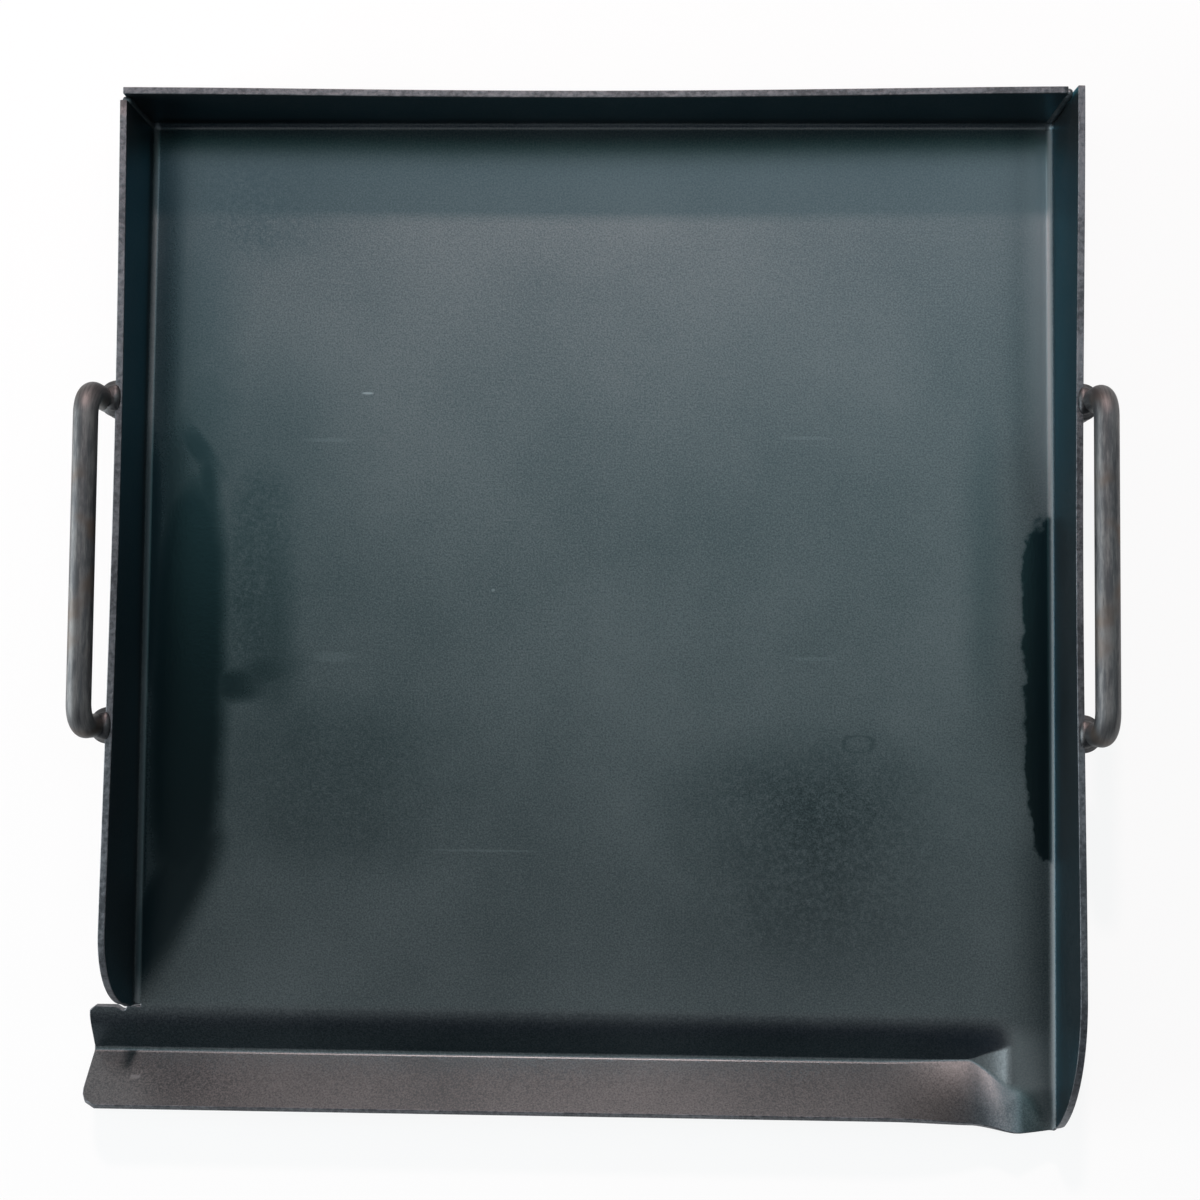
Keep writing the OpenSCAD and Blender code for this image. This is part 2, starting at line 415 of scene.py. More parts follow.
@dataclass(frozen=True)
class Finish(ABC):
    """A procedural material that is made once and shared.

    Attributes:
        name: name of the material.
    """

    name: str

    @abstractmethod
    def wire(self, graph: Graph) -> None:
        """Build the node tree."""

    def material(self) -> bpy.types.Material:
        """The material, made on first use."""
        found = bpy.data.materials.get(self.name)
        if found is None:
            found = bpy.data.materials.new(self.name)
            found.use_nodes = True
            self.wire(Graph(found.node_tree))
        return found


@dataclass(frozen=True)
class Patch:
    """An oval patch on the floor, whose edge wanders.

    Attributes:
        x, y: middle of the patch, mm.
        half_x, half_y: half its width and depth, mm.
        strength: how strong it is, from 0 to 1.
        edge: softness of its edge, as a share of the half size.
        wander: how far its edge wanders, as a share of the half size.
        mottle: share of it that is broken up into droplets.
        ring: strength of the line that is left round its edge.
        tilt: turn of the oval, degrees.
        blunt: power that makes its ends in y blunt.
    """

    x: float
    y: float
    half_x: float
    half_y: float
    strength: float
    edge: float = 0.5
    wander: float = 0.5
    mottle: float = 0.0
    ring: float = 0.0
    tilt: float = 0.0
    blunt: float = 4.0

    def along(self, graph: Graph, axes: list[Any], angle: float, half: float) -> bpy.types.NodeSocket:
        """Distance from the middle in the direction of an angle in degrees, in half sizes."""
        cos, sin = math.cos(math.radians(angle)), math.sin(math.radians(angle))
        shift = -(self.x * cos + self.y * sin) / half
        second = graph.maths("MULTIPLY_ADD", axes[1], sin / (half * MM), shift)
        return graph.maths("MULTIPLY_ADD", axes[0], cos / (half * MM), second)

    def mask(self, graph: Graph, axes: list[Any], waves: Any, drops: Any) -> bpy.types.NodeSocket:
        """Field that is its strength inside the oval, shifted by noise and broken by droplets."""
        wide = self.along(graph, axes, self.tilt, self.half_x)
        deep = self.along(graph, axes, self.tilt + 90, self.half_y)
        square = graph.maths("MULTIPLY_ADD", wide, wide, graph.maths("POWER", deep, self.blunt))
        shifted = graph.maths("MULTIPLY_ADD", waves, self.wander, graph.maths("SQRT", square))
        reach = 1 + self.wander / 2
        field = graph.rise(shifted, (reach + self.edge, reach - self.edge))
        if self.mottle > 0:
            field = graph.product(field, graph.maths("MULTIPLY_ADD", drops, self.mottle, 1 - self.mottle))
        field = graph.product(field, self.strength)
        if self.ring > 0:
            gap = graph.maths("ABSOLUTE", graph.maths("SUBTRACT", shifted, reach))
            field = graph.highest(field, graph.product(graph.rise(gap, (self.edge, 0.0)), self.ring))
        return field


@dataclass(frozen=True)
class BluedSheet(Finish):
    """Blued and oiled hot-rolled sheet: satin grain, clouds, oily stains, scratches and rub marks,
    with painted shade and painted dark reflections among its dark patches, and painted highlights
    among its light patches and along the side bends.

    Attributes:
        dry, pale: colours of the satin steel, in dark and light grain.
        dark_oil_and_shade, rub_and_highlight: colours of the dark glossy layer, oily stain and painted
        shade, and of rub marks and painted highlights.
        glancing: tint of reflections at a glancing angle.
        dry_rough, wet_rough: roughness of dry steel, in dark and light grain, and of the dark glossy layer.
        grain_share, cloud_share: shares of the grain and the clouds in the tone.
        colour_span, rough_span: spans of the tone over which colour and roughness change.
        drop_span, drop_dip: span of the noise that makes droplets, and how far they press in.
        scratch_stretch, scratch_span, scratch_area, scratch_share: the scratches' direction, which
            of them show, the areas that have them and their strength.
        floor_facing, floor_z: spans of the normal's z and of the height, mm, at the floor's edge.
        bend_up, bend_down, bend_near, bend_far: spans of z and of x, mm, that bound the side bends.
        bend_highlight_span, bend_rough: painted highlight on the bends, least and most, and added
            roughness.
        highlight_under_film: share of that painted highlight that shows under the dark layer.
        left_side: span of x, mm, from the side whose bend stays light to the side whose bend is darkened.
        bump: depth of the grain in metres, and its strength.
        oil_and_shade_patches, rubs_and_highlights: dark patches of oily stain, painted shade and
        painted dark reflections, and light patches of rub marks and painted highlights.
    """

    name: str = "oiled_blued_sheet"
    dry: Colour = (0.078, 0.092, 0.098)
    pale: Colour = (0.160, 0.174, 0.180)
    dark_oil_and_shade: Colour = (0.026, 0.040, 0.046)
    rub_and_highlight: Colour = (0.30, 0.32, 0.33)
    glancing: Colour = (0.32, 0.66, 0.80)
    dry_rough: Span = (0.35, 0.45)
    wet_rough: float = 0.22
    grain: Noise = Noise(1300.0, 2.0, 0.7)
    clouds: Noise = Noise(9.0, 4.0, 0.55)
    grain_share: float = 0.8
    cloud_share: float = 0.35
    colour_span: Span = (0.36, 0.80)
    rough_span: Span = (0.35, 0.85)
    waves: Noise = Noise(75.0, 3.0, 0.6)
    drops: Noise = Noise(430.0, 6.0, 0.78)
    drop_span: Span = (0.68, 0.38)
    drop_dip: float = -0.25
    scratches: Noise = Noise(1.0, 2.0, 0.5)
    scratch_stretch: Colour = (26.0, 1500.0, 30.0)
    scratch_span: Span = (0.70, 0.76)
    scratch_places: Noise = Noise(24.0, 2.0, 0.5)
    scratch_area: Span = (0.58, 0.68)
    scratch_share: float = 0.22
    floor_facing: Span = (0.3, 0.6)
    floor_z: Span = (4.2, 3.2)
    bend_up: Span = (3.02, 3.25)
    bend_down: Span = (4.8, 3.9)
    bend_near: Span = (196.4, 197.0)
    bend_far: Span = (201.0, 200.4)
    bend_highlight_span: Span = (0.15, 0.45)
    bend_rough: float = 0.25
    highlight_under_film: float = 0.4
    left_side: Span = (100.0, -100.0)
    bump: Span = (0.00008, 0.4)
    oil_and_shade_patches: tuple[Patch, ...] = (
        # Painted dark reflection and painted shade: the dark strip along the left wall, its hook at the
        # top, its lower end and the darkened left bend.
        Patch(-180, -54, 17.5, 98, 0.97, edge=0.36, wander=0.15, tilt=-0.5),
        Patch(-187, -150, 13, 42, 0.94, edge=0.5, wander=0.2, tilt=-27),
        Patch(-197, -2, 7, 66, 0.85, edge=0.7, wander=0.3),
        Patch(-199, -112, 3.5, 72, 0.80, edge=0.6, wander=0.2),
        Patch(-172, 24, 6, 30, 0.90, edge=0.8, wander=0.3, tilt=3),
        Patch(-187, 34, 14, 40, 0.78, edge=1.0, wander=0.3),
        Patch(-177, 50, 17, 6, 0.88, edge=0.9, wander=0.4, tilt=-55),
        # An oily stain broken into droplets.
        Patch(-149, -4, 18, 50, 0.55, edge=0.7, wander=0.5, mottle=0.6),
        # Painted dark reflection: a spur off the dark strip along the left wall.
        Patch(-162, -55, 16, 7.5, 0.80, edge=1.0, wander=0.3, tilt=4),
        Patch(-147, -49, 15, 7, 0.58, edge=1.0, wander=0.3, tilt=24),
        # Soft oily stains.
        Patch(-141, -24, 9, 40, 0.44, edge=1.0),
        Patch(-150, 30, 34, 62, 0.26, edge=1.0),
        # Painted shade: soft dark bands on the floor beside the left wall.
        Patch(-190, 104, 8, 92, 0.68, edge=0.9, wander=0.3),
        Patch(-184, 90, 20, 90, 0.48, edge=1.0),
        Patch(-178, 62, 20, 34, 0.52, edge=1.0),
        # Oily droplets.
        Patch(-162, 160, 30, 24, 0.52, edge=0.9, mottle=0.9),
        # Painted dark reflection: the dark strip along the right bend.
        Patch(197.5, -54, 10.5, 76, 0.96, edge=0.10, wander=0.9, tilt=1.5),
        # Painted reflection and painted shade: a soft dark band on the floor towards the right, a soft
        # shade beside the right bend and the darker floor beside it at the front.
        Patch(170, 4, 7, 56, 0.26, edge=1.0),
        Patch(186, 108, 6, 92, 0.14, edge=1.0),
        Patch(195, -158, 12, 40, 0.22, edge=0.9),
        # Mottled oily stains and a ring stain.
        Patch(98, -128, 46, 46, 0.52, edge=1.0, mottle=0.8),
        Patch(-112, -98, 48, 34, 0.34, edge=0.85, mottle=0.6),
        Patch(115, -78, 6, 3.6, 0.2, edge=0.4, wander=0.6, mottle=0.9, ring=0.38),
        # Painted shade: the dark sheet at the front right corner of the trough.
        Patch(195, -232, 8, 7, 0.50, edge=0.7),
    )
    rubs_and_highlights: tuple[Patch, ...] = (
        # Scratches and rub marks.
        Patch(-102, 75, 2.4, 0.5, 0.9, edge=0.4, wander=0.3),
        Patch(-119, 54, 9, 0.8, 0.16, edge=0.6),
        Patch(-115, -42, 8, 2.2, 0.12, edge=0.7),
        Patch(-48, -126, 22, 0.5, 0.18, edge=0.6),
        Patch(92, 56, 10, 0.7, 0.12, edge=0.6),
        Patch(96, -41, 9, 0.8, 0.12, edge=0.6),
        Patch(-45, -12, 0.8, 0.6, 0.5, edge=0.4),
        # Painted highlights: a light band along the right bend and a lighter facet at the right end of the
        # trough.
        Patch(201, 122, 9, 84, 1.0, edge=0.9, wander=0.2),
        Patch(180, -216, 20, 15, 0.32, edge=0.8),
    )

    def bends(self, graph: Graph, axes: list[Any]) -> bpy.types.NodeSocket:
        """Field along the inside of the side bends, for a painted highlight, painted shade on the left and
        more roughness.
        """
        aside = graph.maths("ABSOLUTE", axes[0])
        near, far = (graph.rise(aside, span, MM) for span in (self.bend_near, self.bend_far))
        low, high = (graph.rise(axes[2], span, MM) for span in (self.bend_up, self.bend_down))
        return graph.product(low, high, graph.product(near, far))

    def wire(self, graph: Graph) -> None:
        """Grain and clouds set the satin steel; oily stains and painted shade darken and gloss it;
        rub marks and painted highlights lighten it.
        """
        coordinates = graph.add("ShaderNodeTexCoord").outputs
        place = coordinates["Object"]
        axes = graph.axes(place)
        facing = graph.axes(coordinates["Normal"])[2]
        grain = graph.noise(place, self.grain)
        clouds = graph.noise(place, self.clouds)
        waves = graph.noise(place, self.waves)
        drops = graph.rise(graph.noise(place, self.drops), self.drop_span)
        # Dark patches: oily stains with painted shade and painted dark reflections. Light patches: rub
        # marks with painted highlights.
        oil_and_shade_film, bare = (
            graph.highest(*[patch.mask(graph, axes, waves, drops) for patch in patches])
            for patches in (self.oil_and_shade_patches, self.rubs_and_highlights)
        )
        floor = graph.product(graph.rise(facing, self.floor_facing), graph.rise(axes[2], self.floor_z, MM))
        bends = self.bends(graph, axes)
        # Painted highlight along the side bends, patchy with the clouds and fainter under the dark layer.
        bend_highlight = graph.product(bends, graph.between(clouds, self.bend_highlight_span))
        bend_highlight = graph.product(bend_highlight, graph.between(oil_and_shade_film, (1.0, self.highlight_under_film)))
        # Painted shade with oily stain: the dark layer is carried onto the left bend.
        left_bend_shade = graph.product(graph.rise(axes[0], self.left_side, MM), bends)
        oil_and_shade_film = graph.product(oil_and_shade_film, graph.highest(floor, left_bend_shade))
        bare = graph.highest(graph.product(bare, floor), bend_highlight)
        tone = graph.maths("MULTIPLY_ADD", grain, self.grain_share, graph.product(clouds, self.cloud_share))
        steel = graph.mix(graph.rise(tone, self.colour_span), self.dry, self.pale)
        lines = graph.noise(graph.stretch(place, self.scratch_stretch), self.scratches)
        sparse = graph.rise(graph.noise(place, self.scratch_places), self.scratch_area)
        fine = graph.product(graph.rise(lines, self.scratch_span), sparse)
        bare = graph.maths("MULTIPLY_ADD", fine, self.scratch_share, bare)
        base = graph.mix(oil_and_shade_film, graph.mix(bare, steel, self.rub_and_highlight), self.dark_oil_and_shade)
        satin = graph.between(graph.rise(tone, self.rough_span), self.dry_rough)
        rough = graph.maths("MULTIPLY_ADD", oil_and_shade_film, graph.maths("SUBTRACT", self.wet_rough, satin), satin)
        rough = graph.maths("MULTIPLY_ADD", bends, self.bend_rough, rough)
        height = graph.maths("MULTIPLY_ADD", drops, self.drop_dip, grain)
        graph.metal(base, rough, height, self.bump, self.glancing)


@dataclass(frozen=True)
class CutEdge(Finish):
    """Sheared edge of the sheet: bare steel with torn, pitted grain."""

    name: str = "cut_edge"
    dark: Colour = (0.070, 0.075, 0.082)
    light: Colour = (0.175, 0.184, 0.198)
    pits: Noise = Noise(520.0, 4.0, 0.7)
    patches: Noise = Noise(40.0, 2.0, 0.5)
    patch_share: float = 0.5
    tone_span: Span = (0.55, 0.95)
    rough: Span = (0.42, 0.66)
    bump: Span = (0.0005, 0.6)

    def wire(self, graph: Graph) -> None:
        """Pits over larger patches set the colour, and the pits alone the height."""
        place = graph.add("ShaderNodeTexCoord").outputs["Object"]
        pits = graph.noise(place, self.pits)
        tone = graph.maths("MULTIPLY_ADD", graph.noise(place, self.patches), self.patch_share, pits)
        base = graph.mix(graph.rise(tone, self.tone_span), self.dark, self.light)
        graph.metal(base, graph.between(pits, self.rough), pits, self.bump)


@dataclass(frozen=True)
class MillScaleBar(Finish):
    """Round bar with streaky mill scale, abraded bare and browned in places."""

    name: str = "mill_scale_bar"
    scale: Colour = (0.088, 0.089, 0.093)
    bare: Colour = (0.185, 0.182, 0.180)
    brown: Colour = (0.130, 0.105, 0.090)
    streaks: Noise = Noise(700.0, 5.0, 0.72)
    streak_stretch: Colour = (1.0, 0.12, 1.0)
    patches: Noise = Noise(120.0, 3.0, 0.6)
    patch_stretch: Colour = (1.0, 0.25, 1.0)
    patch_share: float = 0.6
    rubbed_span: Span = (0.64, 0.98)
    stains: Noise = Noise(55.0, 2.0, 0.5)
    stain_span: Span = (0.50, 0.72)
    pits: Noise = Noise(900.0, 3.0, 0.6)
    pit_share: float = 0.5
    rough: Span = (0.48, 0.68)
    bump: Span = (0.0002, 0.35)

    def wire(self, graph: Graph) -> None:
        """Streaks run along the straightened bar, whose coordinates the mesh keeps as an attribute."""
        bar = graph.add("ShaderNodeAttribute", attribute_name=BAR_ATTRIBUTE).outputs["Vector"]
        streaks = graph.noise(graph.stretch(bar, self.streak_stretch), self.streaks)
        patches = graph.noise(graph.stretch(bar, self.patch_stretch), self.patches)
        tone = graph.maths("MULTIPLY_ADD", patches, self.patch_share, streaks)
        grey = graph.mix(graph.rise(tone, self.rubbed_span), self.scale, self.bare)
        stains = graph.rise(graph.noise(bar, self.stains), self.stain_span)
        base = graph.mix(stains, grey, self.brown)
        height = graph.maths("MULTIPLY_ADD", graph.noise(bar, self.pits), self.pit_share, streaks)
        graph.metal(base, graph.between(streaks, self.rough), height, self.bump)


@dataclass(frozen=True)
class WeldMetal(Finish):
    """Weld metal with a fine skin and darker heat tint."""

    bright: Colour
    tint: Colour
    skin: Noise = Noise(700.0, 3.0, 0.6)
    heat: Noise = Noise(160.0, 3.0, 0.6)
    heat_span: Span = (0.42, 0.66)
    rough: Span = (0.38, 0.62)
    bump: Span = (0.0003, 0.4)

    def wire(self, graph: Graph) -> None:
        """Noise mixes bright metal and heat tint, and roughens the skin."""
        place = graph.add("ShaderNodeTexCoord").outputs["Object"]
        skin = graph.noise(place, self.skin)
        heat = graph.rise(graph.noise(place, self.heat), self.heat_span)
        base = graph.mix(heat, self.bright, self.tint)
        graph.metal(base, graph.between(skin, self.rough), skin, self.bump)


# Foot welds: dark weld metal, darkened further with painted shade for the shade at the legs' feet.
SHADED_FOOT_WELD = WeldMetal("foot_weld_painted_shade", (0.105, 0.105, 0.107), (0.050, 0.051, 0.054))
BLUED_WELD = WeldMetal("blued_weld", (0.13, 0.15, 0.16), (0.08, 0.095, 0.105))


def stand_in(piece: bpy.types.Object, node: str, slot: Slot, *finishes: Finish) -> bpy.types.Object:
    """Dress a piece and put it in the place of its CAD node.

    Args:
        piece: the new piece.
        node: CAD node that it replaces.
        slot: material slot of the record; not used.
        finishes: its materials, in order.

    Returns:
        The piece.
    """
    for finish in finishes:
        piece.data.materials.append(finish.material())
    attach(piece, BODY)
    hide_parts(node)
    return piece


@dataclass(frozen=True)
class Pan:
    """Sizes of the folded sheet that the pieces share, in millimetres.

    Attributes:
        outer_x, outer_y, rim_z: outside faces and top of the walls.
        spout_x: left end of the drain spout.
        base_z: lowest point of the trough.
        sheet_t: thickness of the sheet.
        bend_r: inside radius of the wall bends.
    """

    outer_x: float
    outer_y: float
    rim_z: float
    spout_x: float
    base_z: float
    sheet_t: float = 3.0
    bend_r: float = 3.0

    @classmethod
    def from_frame(cls) -> Pan:
        """Read the outside of the sheet from the CAD node."""
        low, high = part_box("griddle_plate")
        return cls(high.x / MM, high.y / MM, high.z / MM, low.x / MM, low.z / MM)

    @property
    def bend_out(self) -> float:
        """Outside radius of the bends, which is also the height where the walls stand upright."""
        return self.bend_r + self.sheet_t

    @property
    def bend_mid(self) -> float:
        """Radius of the bends at mid-sheet."""
        return self.bend_r + self.sheet_t / 2

    @property
    def bend_len(self) -> float:
        """Length of a bend along mid-sheet."""
        return self.bend_mid * math.pi / 2

    @property
    def wall_len(self) -> float:
        """Length of a whole wall along mid-sheet, from the start of its bend to the rim."""
        return self.bend_len + self.rim_z - self.bend_out

    @property
    def flat_x(self) -> float:
        """Half width of the flat floor."""
        return self.outer_x - self.bend_out

    @property
    def flat_y(self) -> float:
        """Half depth of the flat floor, which is centred on the origin."""
        return self.outer_y - self.bend_out

    def wall(self, s: Array) -> tuple[Array, Array]:
        """Wall in section: a quarter circle of radius bend_mid, then straight up.

        Args:
            s: distance along mid-sheet from the start of the bend.

        Returns:
            Distance outwards from the start of the bend, and height.
        """
        turn = np.minimum(s / self.bend_mid, math.pi / 2)
        out = self.bend_mid * np.sin(turn)
        height = self.bend_out - self.bend_mid * np.cos(turn) + np.maximum(s - self.bend_len, 0.0)
        return out, height

    def length_to(self, z: Array) -> Array:
        """Distance along mid-sheet at which a wall reaches the height z."""
        turn = np.arccos(clamp01((self.bend_out - z) / self.bend_mid))
        return self.bend_mid * turn + np.maximum(z - self.bend_out, 0.0)

    def upright_share(self, z: Array) -> Array:
        """Height z as a share of the upright part of a wall."""
        return clamp01((z - self.bend_out) / (self.rim_z - self.bend_out))


@dataclass(frozen=True)
class Lean:
    """How far a wall's rim stands out of true, fitted as a quartic along the wall.

    Attributes:
        places: positions along the wall, mm.
        offsets: how far the rim stands outwards there, mm, as measured in the photograph.
        degree: degree of the fitted curve.
    """

    places: tuple[float, ...]
    offsets: tuple[float, ...]
    degree: int = 4

    def at(self, place: Array) -> Array:
        """Offset of the rim at positions along the wall."""
        span = max(abs(p) for p in self.places)
        fit = np.polyfit(np.array(self.places) / span, self.offsets, self.degree)
        return np.polyval(fit, np.asarray(place) / span)


LEANS = {
    Side.LEFT: Lean(
        (-193, -160, -97, -30, 30, 75, 115, 193),
        (1.4, 1.45, 0.3, -0.55, -0.7, -0.8, -0.75, 0.2),
    ),
    Side.RIGHT: Lean(
        (-240, -150, -100, -54, 0, 45, 116, 180, 199),
        (0, 0.5, 0.2, -0.1, -0.5, -0.3, 0.7, 1.2, 1.4),
    ),
}
BACK_LEAN = Lean(
    (-199, -130, -60, 10, 80, 150, 197),
    (-0.1, -0.8, -1.5, -1.8, -1.4, -0.4, -0.05),
)


@dataclass(frozen=True)
class Trough:
    """Grease trough, as a cross-section that changes along x.

    The sheet is walked from the floor's front edge in a heading that falls by the rear slope over
    a soft fold, is level again in the rear crease, and rises by the lip slope over the front
    crease. Towards the right wall the lip comes down, the valley closes and the blank is trimmed.
    The fold, the rear slope and the lengths were refined on the photograph after the last pack, so
    the section lies up to 0.9 mm from that of the CAD source.

    Attributes:
        pan: sizes of the sheet.
        rear_slope, lip_slope: slopes behind and in front of the valley, degrees.
        rear_len, lip_len: lengths from the fold to the rear crease, and on to the lip's edge.
        fold_r, valley_r: radii of the fold and of the two creases.
        closing_run, lip_run: lengths over which the valley closes and the lip comes down.
        corner_trim: how much the blank is trimmed at the right wall.
        lead: length of flat sheet before the middle of the fold.
        valley_flat: flat between the creases.
        lip_power, trim_power: powers by which the lip comes down and the blank is trimmed.
        crease_share: share of the closing run in which the rear slope fades.
        rear_min: least length from the fold to the rear crease.
        lip_loss: share of the lip's facet that is lost at the right wall.
        crease_soften: how much the front crease's radius grows there.
        slit_w: width of the slit behind the spout.
        edge_r: radius of the sheet's edge.
        counts: steps in the parts of the section, from the floor to the lip's edge.
    """

    pan: Pan
    rear_slope: float = 30.0
    lip_slope: float = 46.5
    rear_len: float = 17.3
    lip_len: float = 30.6
    fold_r: float = 22.0
    valley_r: float = 3.5
    closing_run: float = 35.0
    lip_run: float = 72.0
    corner_trim: float = 4.8
    lead: float = 6.0
    valley_flat: float = 0.8
    lip_power: float = 1.75
    trim_power: float = 1.5
    crease_share: float = 0.55
    rear_min: float = 7.5
    lip_loss: float = 0.6
    crease_soften: float = 12.0
    slit_w: float = 2.6
    edge_r: float = 0.4
    counts: tuple[int, ...] = (1, 4, 5, 6, 5, 6, 9, 10)

    @property
    def slit_row(self) -> int:
        """Row of the section at the slit behind the spout."""
        return self.counts[0] + self.counts[1]

    @property
    def length(self) -> float:
        """Length of the open section along the sheet."""
        return self.lead + self.rear_len + self.lip_len - self.edge_r

    def halves(self) -> tuple[float, float, float]:
        """Half lengths of the fold, the rear crease and the front crease along the sheet."""
        turns = (self.rear_slope, self.rear_slope, self.lip_slope)
        radii = (self.fold_r, self.valley_r, self.valley_r)
        fold, rear, front = (r * math.radians(a) / 2 for r, a in zip(radii, turns))
        return fold, rear, front

    def section(self, x: Array) -> tuple[Array, Array, Array]:
        """Mid-sheet points of the cross-sections.

        Args:
            x: positions of the sections.

        Returns:
            Distance along the sheet, distance forward and height; points by rows, sections by columns.
        """
        fold, rear, front = self.halves()
        flat_x = self.pan.flat_x
        open_x = flat_x + self.pan.bend_r - self.closing_run
        lowering = clamp01((x - flat_x + self.lip_run) / self.lip_run)
        closing = clamp01((x - open_x) / (flat_x - open_x))
        fade = clamp01(closing / self.crease_share)
        fall = self.rear_slope * (1 - fade**3)
        rise = self.lip_slope * (1 - lowering**self.lip_power)
        end = self.length - self.corner_trim * lowering**self.trim_power
        rear_at = self.lead + self.rear_min + (self.rear_len - self.rear_min) * (1 - fade)
        facet = self.lip_len - (rear + front + self.valley_flat)
        front_at = end - facet * (1 - self.lip_loss * closing)
        front_half = front * (1 + self.crease_soften / self.valley_r * closing**2)
        level = np.zeros_like(x)
        knots = np.stack([
            level, level + self.lead - fold, level + self.slit_w, level + self.lead + fold,
            rear_at - rear, rear_at + rear, front_at - front_half, front_at + front_half, end,
        ])
        w = steps_between(knots, self.counts)
        middle = (w[1:] + w[:-1]) / 2
        turn = fall * (ramp(middle, rear_at, rear) - ramp(middle, self.lead, fold))
        turn += rise * ramp(middle, front_at, front_half)
        forward, up = walk(np.diff(w, axis=0), np.radians(turn))
        return w, forward, up + self.pan.sheet_t / 2


@dataclass(frozen=True)
class SheetPlate:
    """The folded sheet: floor, three walls, trough and spout as one plus-shaped grid.

    Rows run from the back wall's rim over the floor to the lip's edge, columns from the left
    wall's rim over the floor to the right wall's rim. Beside the trough the left columns are the
    spout. Cells of the open corners and of the slit are left out.

    Attributes:
        pan, trough: sizes of the sheet and of its trough.
        left_end_r, right_end_r: radii of the arcs at the front ends of the side walls.
        end_trim: how much of the left arc is cut off at the floor's front edge.
        wall_past: how far that end's last row is carried on.
        end_least: least height of the right wall's end, in sheet thicknesses.
        back_wall_step: how far the back wall stays short of the left wall's outside.
        relief_r, relief_out: radius of the relief hole and its distance from the left wall.
        relief_reach, relief_fade: how far its closer columns and its hollow go, in radii.
        relief_steps: columns across it.
        spout_rear_r, spout_front_r: radii of the spout's corners.
        edge_r: radius of the sheet's edge.
        bend_steps, upright_steps: columns in a wall's bend and in its upright.
        bend_most: largest share of a short wall that is bend.
        plain_rows, arc_rows: rows of the floor behind and beside the left wall's end arc.
        column_steps: columns of the floor, before and where the lip comes down.
        column_lead: how far before that the close columns start.
    """

    pan: Pan
    trough: Trough
    left_end_r: float = 36.0
    end_trim: float = 0.5
    right_end_r: float = 70.0
    back_wall_step: float = 1.4
    relief_r: float = 1.7
    relief_out: float = 2.0
    spout_rear_r: float = 2.5
    spout_front_r: float = 6.0
    edge_r: float = 0.4
    wall_past: float = 1.1
    end_least: float = 0.8
    relief_reach: float = 1.3
    relief_fade: float = 3.0
    relief_steps: int = 12
    bend_steps: int = 8
    upright_steps: int = 14
    bend_most: float = 0.55
    plain_rows: int = 45
    arc_rows: int = 17
    column_steps: tuple[int, int] = (40, 40)
    column_lead: float = 5.0

    def wall_shares(self) -> Array:
        """Shares of a wall's length at the columns, from just off the floor to the rim."""
        bend = self.pan.bend_len / self.pan.wall_len
        return steps_between(np.array([0.0, bend, 1.0]), (self.bend_steps, self.upright_steps))[1:]

    def spout_shares(self) -> Array:
        """Shares of the spout's width at the columns, closer together at the relief hole."""
        width = -self.pan.spout_x - self.pan.flat_x
        relief = self.pan.bend_out + self.relief_out
        near = (relief - self.relief_reach * self.relief_r) / width
        far = (relief + self.relief_reach * self.relief_r) / width
        rest = self.bend_steps + self.upright_steps - self.relief_steps
        counts = (rest // 2, self.relief_steps, rest - rest // 2)
        return steps_between(np.array([0.0, near, far, 1.0]), counts)[1:]

    def wall_lengths(self, shares: Array, top: Array) -> Array:
        """Distances along mid-sheet at the columns, where the wall's top is at the given heights.

        Args:
            shares: shares of a full wall at the columns.
            top: height of the wall's end or rim at the rows.

        Returns:
            Distances by rows and columns: the bend keeps its columns and the upright is shortened.
        """
        whole = self.pan.length_to(top)[:, None]
        share = self.pan.bend_len / self.pan.wall_len
        bend = np.minimum(self.pan.bend_len, self.bend_most * whole)
        low = shares / share * bend
        high = bend + (shares - share) / (1 - share) * (whole - bend)
        return np.where(shares <= share, low, high)

    def left_top(self, y: Array) -> Array:
        """Top of the left wall: the rim, then an arc of left_end_r that leaves it level."""
        radius = self.left_end_r - self.edge_r
        run = np.maximum(self.left_end_r - self.end_trim - self.pan.flat_y - y, 0.0)
        arc = np.sqrt(np.maximum(radius**2 - run**2, 0.0))
        return self.pan.rim_z - self.left_end_r + arc

    def right_top(self, y: Array, corner_y: float) -> Array:
        """Top of the right wall: the rim, then an arc of right_end_r down to the trimmed corner."""
        radius = self.right_end_r - self.edge_r
        level = self.pan.rim_z - self.right_end_r
        arc_y = corner_y + math.sqrt(radius**2 - (self.pan.sheet_t / 2 - level) ** 2)
        run = np.maximum(arc_y - y, 0.0)
        top = level + np.sqrt(radius**2 - run**2)
        return np.maximum(top, self.end_least * self.pan.sheet_t)

    def floor_rows(self) -> Array:
        """Positions in y from the back bend to the trough, following the left wall's end arc."""
        radius = self.left_end_r
        arc_y = radius - self.end_trim - self.pan.flat_y
        turns = np.linspace(0.0, math.asin(1 - self.end_trim / radius), self.arc_rows)
        plain = np.linspace(self.pan.flat_y, arc_y, self.plain_rows)
        return np.concatenate([plain[:-1], arc_y - radius * np.sin(turns)])

    def floor_columns(self) -> Array:
        """Positions in x across the floor, closer together where the trough closes."""
        start = self.pan.flat_x - self.trough.lip_run - self.column_lead
        knots = np.array([-self.pan.flat_x, start, self.pan.flat_x])
        return steps_between(knots, self.column_steps)

